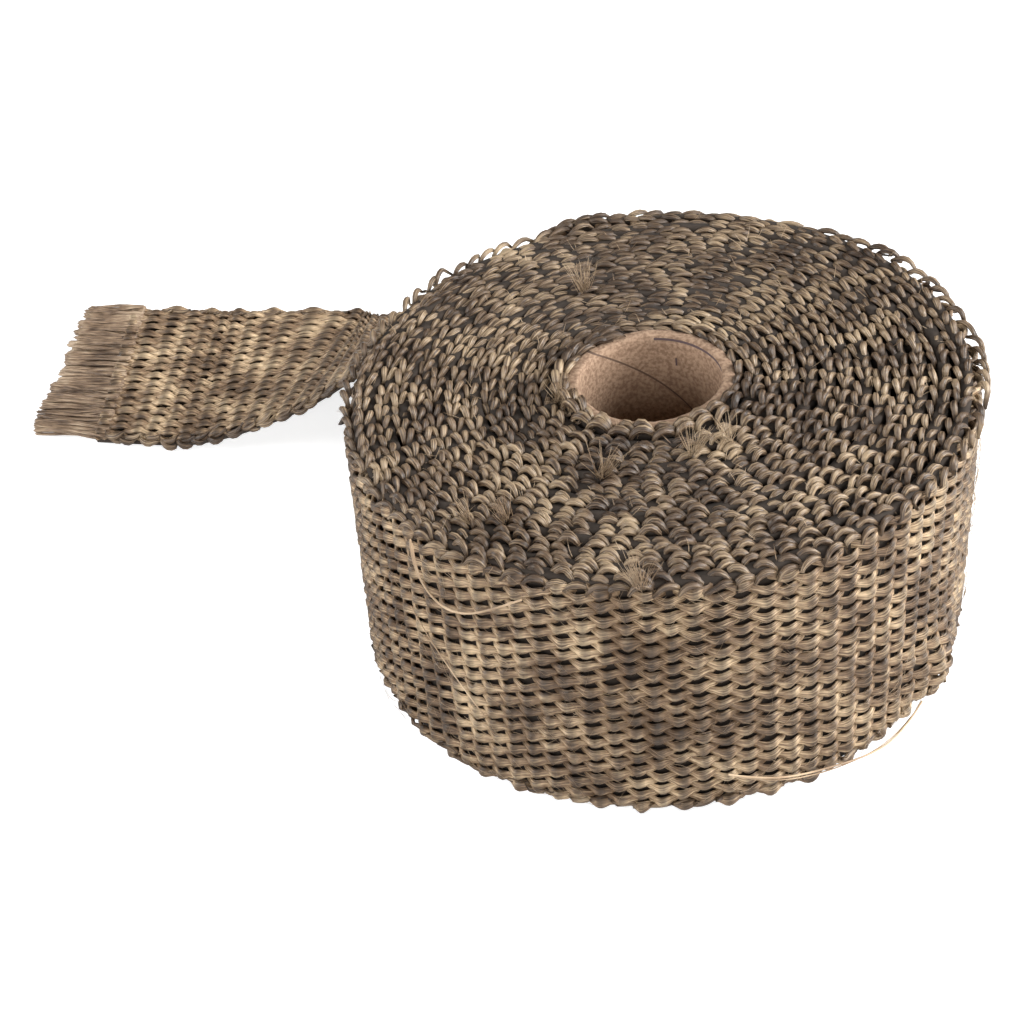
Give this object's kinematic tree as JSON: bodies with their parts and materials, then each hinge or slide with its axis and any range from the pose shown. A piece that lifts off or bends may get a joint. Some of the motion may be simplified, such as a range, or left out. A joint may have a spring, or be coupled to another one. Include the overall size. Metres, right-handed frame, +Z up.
{
  "type": "exhaust heat wrap",
  "caption": "Roll of coarse woven heat-resistant tape on a cardboard core, standing on end, its frayed free end lying flat behind.",
  "frame": {"origin": "middle of the bounding box at the level of the floor that the roll stands on", "axes": "+Z up along the roll's axis, +X from the free end towards the roll, +Y from the side in the picture's foreground to the side behind"},
  "size_m": [0.1832, 0.1672, 0.05],
  "materials": {
    "tape": "coarse woven mineral fibre, dull with small silky highlights",
    "core": "matt brown board"
  },
  "bodies": {
    "root": {"wrap_tape": "tape", "cardboard_core": "core"}
  },
  "joints": []
}
